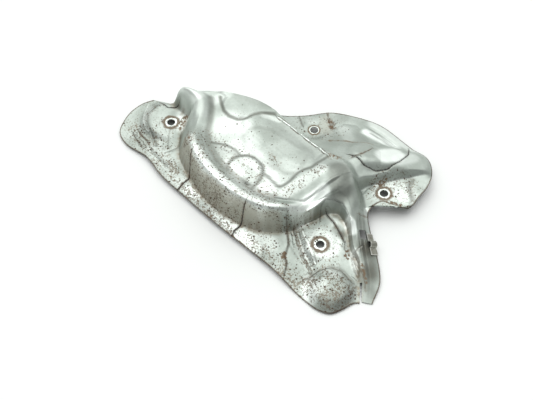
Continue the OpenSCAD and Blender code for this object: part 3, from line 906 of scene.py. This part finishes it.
@dataclass(frozen=True)
class AluminisedSteel:
    """Dull aluminised sheet with rust, and with painted highlights and painted shade.

    Args:
        bright: Colour of clean coating.
        dull: Colour of weathered coating.
        worn_and_highlight: Colour of rubbed and coined places, and of painted highlights.
        painted_shade: Colour of painted shade.
        rust: Colour of rust.
        mottle: Colour of the spots where the coating has gone.
        dirt: Colour of the brown dirt in the seams.
        pit: Colour of rust specks, of the dark cut edge and of the painted shade beside the bright
            creases.
        film: Colour of the dull film on the bead's wall.
        crack: Colour of the open cracks.
    """

    bright: Colour = (0.475, 0.53, 0.485)
    dull: Colour = (0.338, 0.382, 0.34)
    worn_and_highlight: Colour = (0.865, 0.93, 0.88)
    painted_shade: Colour = (0.105, 0.108, 0.088)
    rust: Colour = (0.20, 0.145, 0.09)
    mottle: Colour = (0.185, 0.16, 0.12)
    dirt: Colour = (0.26, 0.225, 0.165)
    pit: Colour = (0.09, 0.063, 0.042)
    film: Colour = (0.42, 0.41, 0.33)
    crack: Colour = (0.012, 0.01, 0.01)

    def build(self) -> bpy.types.Material:
        """Makes the material.

        Returns:
            The material.
        """
        g = Graph("aluminised_steel")
        where = g.add("ShaderNodeTexCoord").outputs["Object"]
        cloud = g.ramp(g.noise(where, 40, 3), 0.35, 0.65)
        spangle = g.ramp(g.noise(where, 420, 2), 0.3, 0.7)
        ragged = g.math("SUBTRACT", g.noise(where, 700, 3, 0.6), 0.5)
        base = g.blend(g.times(cloud, 0.6), self.bright, self.dull)
        base = g.blend(g.times(spangle, 0.3), base, self.dull)
        # Painted highlights and painted shade from the patches, then bands of painted shade along steps
        # and grooves.
        shade = g.attribute("blot_shade")
        base = g.blend(g.math("MAXIMUM", shade, 0.0, True), base, self.worn_and_highlight)
        base = g.blend(g.times(shade, -1.0, True), base, self.painted_shade)
        base = g.blend(g.attribute("line_band"), base, self.painted_shade)

        uneven = g.ramp(g.noise(where, 200, 4, 0.6), 0.3, 0.6, 0.7, 1)
        film = g.times(g.attribute("blot_film"), uneven)
        base = g.blend(film, base, self.film)

        # Cracks, creases and bright lines of worn coating and painted highlight, with painted shade at
        # their edges, by the signed distance from them.
        away = g.attribute("line_away")
        off = g.math("ABSOLUTE", g.more(ragged, 1.6, away))
        core = g.times(g.ramp(off, 0.25, 0.75, 1, 0), g.attribute("line_dark"))
        dash = g.ramp(g.noise(where, 280, 4, 0.6), 0.43, 0.52)
        straight = g.math("ABSOLUTE", g.more(ragged, 0.8, away))
        worn_and_highlight = g.times(g.ramp(straight, 0.35, 0.85, 1, 0), g.attribute("line_shine"))
        worn_and_highlight = g.times(worn_and_highlight, dash)
        rim = g.times(g.ramp(off, 0.9, 1.3), g.ramp(off, 1.7, 2.3, 1, 0))
        rim = g.times(g.times(rim, dash), g.attribute("line_border"))
        wide = g.math("ADD", off, g.times(g.noise(where, 260, 2), 2.2))
        stain = g.times(g.ramp(wide, 1.4, 3.2, 0.9, 0), g.attribute("line_rust"))
        stain = g.times(stain, g.ramp(g.noise(where, 240, 4, 0.6), 0.42, 0.58, 0.3, 1.1))

        # Coined and burnt rings of the holes.
        ring = g.more(g.math("SUBTRACT", g.noise(where, 220, 4, 0.65), 0.5), 5.5, g.attribute("hole_away"))
        coined = g.times(g.ramp(ring, 5.6, 6.5, 1, 0), 0.65)
        burnt = g.times(g.ramp(ring, 5.7, 6.9), g.ramp(ring, 8.0, 10.4, 0.9, 0))

        # Patches of rust.
        patchy = g.ramp(g.noise(where, 330, 4, 0.65), 0.42, 0.56)
        blot = g.attribute("blot_rust")
        rusty = g.ramp(g.math("ADD", g.times(blot, 0.9), g.times(patchy, 0.5)),
                       0.45, 0.75)
        rusty = g.times(rusty, g.ramp(blot, 0.02, 0.2))

        # Lost coating and specks, then all layers from the lowest up.
        dense = g.attribute("blot_speck")
        cluster = g.ramp(g.noise(where, 95, 2), 0.38, 0.62, 0.4, 1.0)
        thick = g.times(dense, cluster)
        fine = g.more(thick, 0.15, g.noise(where, 480, 5, 0.7))
        gone = g.times(g.ramp(fine, 0.61, 0.65), g.ramp(dense, 0.0, 0.3, 0.1, 0.85))
        base = g.blend(gone, base, self.mottle)
        dirt = g.times(g.attribute("seam"), g.ramp(g.noise(where, 150, 3), 0.35, 0.6, 0.25, 0.8))
        base = g.blend(dirt, base, self.dirt)
        edge = g.more(ragged, 1.5, g.attribute("edge_away"))
        base = g.blend(g.ramp(edge, 0.6, 1.4, 0.85, 0), base, self.pit)
        base = g.blend(coined, base, self.worn_and_highlight)
        base = g.blend(rim, base, self.pit)
        base = g.blend(worn_and_highlight, base, self.worn_and_highlight)
        rust = g.math("MAXIMUM", g.math("MAXIMUM", stain, burnt), rusty, True)
        base = g.blend(rust, base, self.rust)
        speck = g.math("MAXIMUM", self.specks(g, where, 380, 0.38), self.specks(g, where, 760, 0.3))
        base = g.blend(speck, base, self.pit)
        base = g.blend(core, base, self.crack)
        # Painted shade on faces that turn downwards, under the sheet.
        turned = g.add("ShaderNodeSeparateXYZ", {0: g.add("ShaderNodeNewGeometry").outputs["Normal"]})
        base = g.blend(g.ramp(turned.outputs["Z"], -0.1, -0.02, 0.9, 0), base, self.painted_shade)
        lost = g.math("MAXIMUM", g.math("MAXIMUM", rust, speck), core)
        metal = g.math("SUBTRACT", g.ramp(lost, 0, 1, 0.8, 0.1), g.times(film, 0.55), True)
        rough = g.math("ADD", g.ramp(cloud, 0, 1, 0.41, 0.5), g.times(lost, 0.35))
        rough = g.more(film, 0.2, rough)

        # Relief.
        crease = g.times(g.ramp(g.math("ABSOLUTE", away), 0.0, 1.6, -1, 0),
                        g.attribute("line_fold"))
        grain = g.times(g.noise(where, 500, 3), 0.05)
        wave = g.times(g.noise(where, 75, 3), 0.45)
        height = g.math("ADD", g.math("ADD", crease, grain), wave)
        height = g.times(height, MM)
        bump = g.add("ShaderNodeBump", {"Strength": 1.0, "Distance": 1.0, "Height": height})
        shader = g.add("ShaderNodeBsdfPrincipled",
                       {"Base Color": base, "Metallic": metal, "Roughness": rough,
                        "Normal": bump.outputs[0]})
        g.add("ShaderNodeOutputMaterial", {"Surface": shader.outputs[0]})
        return g.material

    def specks(self, g: Graph, where: Socket, scale: float, size: float) -> Socket:
        """Round dark pits, more of them where the mesh says so.

        Args:
            g: Graph to write into.
            where: Coordinates socket.
            scale: Cells for each metre.
            size: Largest radius of a pit, as a share of a cell.

        Returns:
            The pits' mask.
        """
        cell = g.add("ShaderNodeTexVoronoi", {"Vector": where, "Scale": scale}, feature="F1")
        lot = g.add("ShaderNodeSeparateColor", {0: cell.outputs["Color"]})
        radius = g.times(lot.outputs[0], size)
        uneven = g.more(g.noise(where, scale * 3, 2), 0.25, cell.outputs["Distance"])
        inside = g.ramp(g.math("SUBTRACT", uneven, radius), 0.10, 0.16, 1, 0)
        chosen = g.math("LESS_THAN", lot.outputs[1], g.attribute("blot_speck"))
        return g.times(inside, chosen)


@dataclass
class ShieldSheet:
    """The pressed sheet.

    Args:
        form: The outer face.
        finish: The coating.
        hole_r: Radius of the bolt holes, in millimetres.
        window: Width, height and depth of the skirt window's cut.
        window_u: Section position of the window.
        window_up: Distance from the skirt's edge to the window's middle.
        slit_at: Open end of the slit beside the toe.
        slit_turn: Direction of the slit, in degrees.
        slit_l: Length of the slit.
        slit_w: Width of the slit.
        slit_past: Length of the slit's block past the sheet's edge.
        slit_z: Height of that block's middle.
        slit_tall: Height of that block.
        drill_l: Length of the cylinders that cut the holes.
        ring_narrow: How much narrower the coined and burnt rings of each hole are.
    """

    form: SheetForm = field(default_factory=SheetForm)
    finish: AluminisedSteel = field(default_factory=AluminisedSteel)
    hole_r: float = 4.25
    window: Point = (9.0, 8.0, 16.0)
    window_u: float = 18.115
    window_up: float = 10.6
    slit_at: Plan = (174.0, -16.5)
    slit_turn: float = -49.0
    slit_l: float = 20.0
    slit_w: float = 2.0
    slit_past: float = 8.0
    slit_z: float = 4.0
    slit_tall: float = 24.0
    drill_l: float = 16.0
    ring_narrow: tuple[float, ...] = (1.0, 0.95, 1.9, 1.08)

    def build(self) -> bpy.types.Object:
        """Makes the sheet's mesh, its cuts and its finish.

        Returns:
            The sheet.
        """
        sheet = laid("pressed_sheet", self.form.face)
        apply(sheet, "SOLIDIFY", thickness=self.form.thickness * MM, offset=-1)
        cutter = self.cutters()
        apply(sheet, "BOOLEAN", operation="DIFFERENCE", object=cutter, solver="MANIFOLD")
        bpy.data.objects.remove(cutter)
        self.mark(sheet)
        dress(sheet, self.finish.build())
        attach(sheet, "root")
        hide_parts("shield_sheet")
        return sheet

    def cutters(self) -> bpy.types.Object:
        """Makes the cylinders and blocks that cut the sheet.

        Returns:
            All cutters as one object.
        """
        made = []
        for x, y, z in self.form.holes:
            bpy.ops.mesh.primitive_cylinder_add(
                vertices=64, radius=self.hole_r * MM, depth=self.drill_l * MM,
                location=Vector((x + HOME[0], y + HOME[1], z + HOME[2])) * MM)
            made.append(bpy.context.object)
        o, along, up, out = self.form.skirt_frame(self.window_u)
        turn = Matrix(np.column_stack([along, up, out]).tolist()).to_4x4()
        middle = Vector(o + self.window_up * up + np.array(HOME)) * MM
        bpy.ops.mesh.primitive_cube_add(size=1)
        window = bpy.context.object
        window.matrix_world = (Matrix.Translation(middle) @ turn
                               @ Matrix.Diagonal((*[v * MM for v in self.window], 1)))
        made.append(window)
        bpy.ops.mesh.primitive_cube_add(size=1)
        slit = bpy.context.object
        along_slit = math.radians(self.slit_turn)
        shift = (self.slit_past - self.slit_l) / 2
        middle = Vector((self.slit_at[0] + shift * math.cos(along_slit) + HOME[0],
                         self.slit_at[1] + shift * math.sin(along_slit) + HOME[1], self.slit_z)) * MM
        block = ((self.slit_l + self.slit_past) * MM, self.slit_w * MM, self.slit_tall * MM, 1)
        slit.matrix_world = (Matrix.Translation(middle) @ Matrix.Rotation(along_slit, 4, "Z")
                             @ Matrix.Diagonal(block))
        made.append(slit)
        bpy.ops.object.select_all(action="DESELECT")
        for part in made:
            part.select_set(True)
        bpy.context.view_layer.objects.active = made[0]
        bpy.ops.object.join()
        return made[0]

    def mark(self, sheet: bpy.types.Object) -> None:
        """Writes the numbers that the finish reads onto the mesh.

        Args:
            sheet: The sheet.
        """
        p = positions(sheet) / MM - np.array(HOME)
        count = len(p)
        best = np.full(count, LINE_FAR)
        away = np.full(count, LINE_FAR)
        banded = np.zeros(count)
        names = ("fold", "dark", "rust", "shine", "border")
        found = {name: np.zeros(count) for name in names}
        for line in LINES:
            closest = np.full(count, FAR)
            for a, b in zip(line.points, line.points[1:]):
                d = off_line(p, a, b)
                closest = np.minimum(closest, d)
                if line.fold + line.dark + line.rust + line.shine == 0:
                    continue
                nearer = d < best
                best[nearer] = d[nearer]
                side = np.sign(beside(p, a, b))
                away[nearer] = (d * side)[nearer]
                for name in names:
                    found[name][nearer] = getattr(line, name)
            # Bands of painted shade along the lines' steps and grooves.
            banded = np.maximum(banded, line.band * ease(1.3 - 1.3 * closest / line.reach))
        close = ease((5 - best) / 2)
        values = {"line_" + name: found[name] * close for name in names}
        values["line_away"] = away
        # Painted highlight and painted shade, rust, specks and film of the patches.
        for name in ("shade", "rust", "speck", "film"):
            total = np.zeros(count)
            for blot in BLOTS:
                share = ease((blot.radius + blot.soft - off_line(p, blot.start, blot.end)) / blot.soft)
                amount = share * getattr(blot, name)
                total = total + amount if name == "shade" else np.maximum(total, amount)
            values["blot_" + name] = total
        values["line_band"] = banded
        values["seam"] = self.seam(p)
        values["edge_away"] = self.edge_away(p)
        values["hole_away"] = np.min(
            [self.hole_r + (np.hypot(p[:, 0] - x, p[:, 1] - y) - self.hole_r) * narrow
             for (x, y, _), narrow in zip(self.form.holes, self.ring_narrow)], axis=0)
        for name, numbers in values.items():
            layer = sheet.data.attributes.new(name, "FLOAT", "POINT")
            layer.data.foreach_set("value", numbers.astype(np.float32))

    def edge_away(self, p: np.ndarray) -> np.ndarray:
        """Distance in plan from the sheet's outline.

        Args:
            p: Points in millimetres.

        Returns:
            One distance for each point.
        """
        face = self.form.face
        away = np.full(len(p), FAR)
        for side in (face[:, 0, :2], face[:, -1, :2]):
            for a, b in zip(side, side[1:]):
                if np.hypot(*(b - a)) > 0.01:
                    away = np.minimum(away, off_line(p, a, b))
        return away

    def seam(self, p: np.ndarray) -> np.ndarray:
        """Share of the brown dirt that sits along the wall's foot.

        Args:
            p: Points in millimetres.

        Returns:
            One share for each point.
        """
        foot = int(np.flatnonzero(self.form.region == Region.WALL.value)[0])
        away = np.full(len(p), FAR)
        for a in self.form.face[::4, foot, :2]:
            away = np.minimum(away, np.hypot(p[:, 0] - a[0], p[:, 1] - a[1]))
        return ease(1 - away / 5)


@dataclass(frozen=True)
class SpringSteel:
    """Dull grey-brown strip steel of the clip.

    Args:
        base: Colour of the strip.
        worn_and_highlight: Colour of its worn, lighter edges.
        rust: Colour of its rust.
    """

    base: Colour = (0.30, 0.305, 0.26)
    worn_and_highlight: Colour = (0.62, 0.63, 0.58)
    rust: Colour = (0.13, 0.10, 0.07)

    def build(self) -> bpy.types.Material:
        """Makes the material.

        Returns:
            The material.
        """
        g = Graph("spring_steel")
        where = g.add("ShaderNodeTexCoord").outputs["Object"]
        patch = g.ramp(g.noise(where, 260, 3), 0.5, 0.7)
        base = g.blend(patch, self.base, self.rust)
        edge = g.ramp(g.add("ShaderNodeNewGeometry").outputs["Pointiness"], 0.5, 0.58)
        base = g.blend(edge, base, self.worn_and_highlight)
        shader = g.add("ShaderNodeBsdfPrincipled",
                       {"Base Color": base, "Metallic": 0.7,
                        "Roughness": g.ramp(patch, 0, 1, 0.34, 0.5)})
        g.add("ShaderNodeOutputMaterial", {"Surface": shader.outputs[0]})
        return g.material


@dataclass
class EdgeClip:
    """The strip folded round the skirt's edge, with a round fold across its middle.

    Args:
        form: The sheet that it grips.
        finish: Its steel.
        u: Section position of its middle.
        length: Length along the edge.
        grip: Depth of its outer leg.
        inner_grip: Depth of its inner leg.
        thickness: Thickness of the strip.
        gap: Clearance to the sheet.
        fold: Radius of the round fold.
        bend: Radius of its inner corners.
    """

    form: SheetForm
    finish: SpringSteel = field(default_factory=SpringSteel)
    u: float = 18.5
    length: float = 23.0
    grip: float = 7.0
    inner_grip: float = 5.0
    thickness: float = 0.8
    gap: float = 0.35
    fold: float = 3.2
    bend: float = 0.3

    def profile(self, lift: float) -> np.ndarray:
        """Inner line of the folded strip at one place along the edge.

        Args:
            lift: Height of the round fold there.

        Returns:
            Pairs up the sheet and out of it, from the outer leg to the inner one.
        """
        h, low = self.gap + lift, -self.form.thickness - self.gap
        r, x = self.bend, -self.gap
        turn = np.radians(np.linspace(90, 180, 6))
        upper = [(x + r + r * math.cos(a), h - r + r * math.sin(a)) for a in turn]
        lower = [(x + r + r * math.cos(-a), low + r + r * math.sin(-a)) for a in turn[::-1]]
        leg = [(v, h) for v in np.linspace(self.grip, x + r, 9)[:-1]]
        back = [(v, low) for v in np.linspace(x + r, self.inner_grip, 7)[1:]]
        return np.array(leg + upper + lower + back)

    def build(self) -> bpy.types.Object:
        """Makes the clip and its finish.

        Returns:
            The clip.
        """
        pair = self.form.rail("rim", np.array([self.u + 0.5, self.u - 0.5]))
        span = self.length / np.linalg.norm(pair[0] - pair[1])
        arc = 0.5 + self.fold / self.length * np.sin(np.radians(np.linspace(-90, 90, 31)))
        steps = np.concatenate([np.linspace(0, arc[0], 10)[:-1], arc, np.linspace(arc[-1], 1, 10)[1:]])
        rings = []
        for t in steps:
            o, _, up, out = self.form.skirt_frame(self.u + (t - 0.5) * span)
            lift = self.fold * math.sqrt(max(0.0, 1 - ((t - 0.5) * self.length / self.fold) ** 2))
            q = self.profile(lift)
            rings.append(o + q[:, :1] * up + q[:, 1:] * out)
        points = np.array(rings)
        clip = laid("folded_clip", points)
        apply(clip, "SOLIDIFY", thickness=self.thickness * MM, offset=self.outward(clip, points))
        dress(clip, self.finish.build())
        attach(clip, "root")
        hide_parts("edge_clip")
        return clip

    def outward(self, clip: bpy.types.Object, points: np.ndarray) -> float:
        """Side of the mesh on which the strip gets its thickness.

        Args:
            clip: The thin clip.
            points: Its points, in millimetres.

        Returns:
            The solidify offset that keeps the thickness outside the gap.
        """
        middle = Vector((points.mean(axis=(0, 1)) + np.array(HOME)) * MM)
        facing = sum((f.center - middle).normalized().dot(f.normal) for f in clip.data.polygons)
        return 1.0 if facing > 0 else -1.0


@dataclass
class Studio:
    """Table, light and camera.

    Args:
        target: Point the photo's camera looks at, in metres.
        distance: Distance of the camera from it.
        azimuth: Camera's turn round the object, in degrees.
        elevation: Camera's height over the horizon, in degrees.
        lens: Focal length on a 36 mm sensor.
        box_axis: Direction of the brightest part of the surround.
        box_half: Half angle of that part, in degrees.
        box_edge: Half width of its soft edge, in degrees.
        side_axis: Direction of the lighter side of the room.
        dim: Light from the darker side.
        middle: Light from the lighter side.
        bright: Light from the brightest part.
        table: Colour of the table.
        table_size: Side of the table, in metres.
    """

    target: Point = (0.0142, -0.04573, 0.0002)
    distance: float = 0.9
    azimuth: float = 45.0
    elevation: float = 55.0
    lens: float = 60.79
    box_axis: Point = (-0.22, 0.16, 0.96)
    box_half: float = 35.0
    box_edge: float = 13.0
    side_axis: Point = (-0.7, 0.55, 0.45)
    dim: float = 0.34
    middle: float = 0.95
    bright: float = 2.1
    table: Colour = (0.935, 0.96, 0.94)
    table_size: float = 12.0

    def build(self) -> None:
        """Makes the table, the lights, the world and the camera."""
        bpy.ops.mesh.primitive_plane_add(size=self.table_size, location=(0, 0, 0))
        floor = bpy.context.object
        floor.name = "table"
        g = Graph("table_white")
        shader = g.add("ShaderNodeBsdfPrincipled",
                       {"Base Color": (*self.table, 1), "Roughness": 0.6})
        g.add("ShaderNodeOutputMaterial", {"Surface": shader.outputs[0]})
        floor.data.materials.append(g.material)
        self.world()
        self.camera()

    def world(self) -> None:
        """Makes a surround that is bright overhead and behind, and darker in front."""
        world = bpy.data.worlds.new("surround")
        world.use_nodes = True
        bpy.context.scene.world = world
        g = Graph("", world.node_tree)
        way = g.add("ShaderNodeTexCoord").outputs["Generated"]
        axis = Vector(self.box_axis).normalized()
        facing = g.add("ShaderNodeVectorMath", {0: way, 1: axis}, operation="DOT_PRODUCT")
        inner, outer = (math.cos(math.radians(self.box_half + k * self.box_edge)) for k in (-1, 1))
        box = g.ramp(facing.outputs["Value"], outer, inner)
        lateral = g.add("ShaderNodeVectorMath", {0: way, 1: Vector(self.side_axis).normalized()},
                        operation="DOT_PRODUCT")
        room = g.ramp(lateral.outputs["Value"], 0.0, 0.8, self.dim, self.middle)
        lift = g.math("SUBTRACT", self.bright, room)
        glow = g.more(box, lift, room)
        light = g.add("ShaderNodeBackground", {0: (1, 1, 1, 1), 1: glow})
        plain = g.add("ShaderNodeBackground", {0: (1, 1, 1, 1), 1: 1.0})
        seen = g.add("ShaderNodeLightPath").outputs["Is Camera Ray"]
        both = g.add("ShaderNodeMixShader", {0: seen, 1: light.outputs[0], 2: plain.outputs[0]})
        g.add("ShaderNodeOutputWorld", {0: both.outputs[0]})

    def camera(self) -> None:
        """Sets the photo's camera."""
        a, e = math.radians(self.azimuth), math.radians(self.elevation)
        back = Vector((math.sin(a) * math.cos(e), -math.cos(a) * math.cos(e), math.sin(e)))
        data = bpy.data.cameras.new("photo_camera")
        data.lens = self.lens
        cam = bpy.data.objects.new("photo_camera", data)
        cam.location = Vector(self.target) + back * self.distance
        cam.rotation_mode = "QUATERNION"
        cam.rotation_quaternion = back.to_track_quat("Z", "Y")
        bpy.context.scene.collection.objects.link(cam)
        bpy.context.scene.camera = cam


def main() -> None:
    """Builds every piece in order, then the studio, and logs each one."""
    logging.basicConfig(level=logging.INFO, format="%(message)s")
    log = logging.getLogger("heat_shield")
    form = SheetForm()
    sheet = ShieldSheet(form).build()
    log.info("built %s with %d faces", sheet.name, len(sheet.data.polygons))
    clip = EdgeClip(form).build()
    log.info("built %s with %d faces", clip.name, len(clip.data.polygons))
    Studio().build()
    log.info("built the table, the light and the camera")
    scene = bpy.context.scene
    scene.view_settings.view_transform = "Standard"


if __name__ == "__main__":
    main()
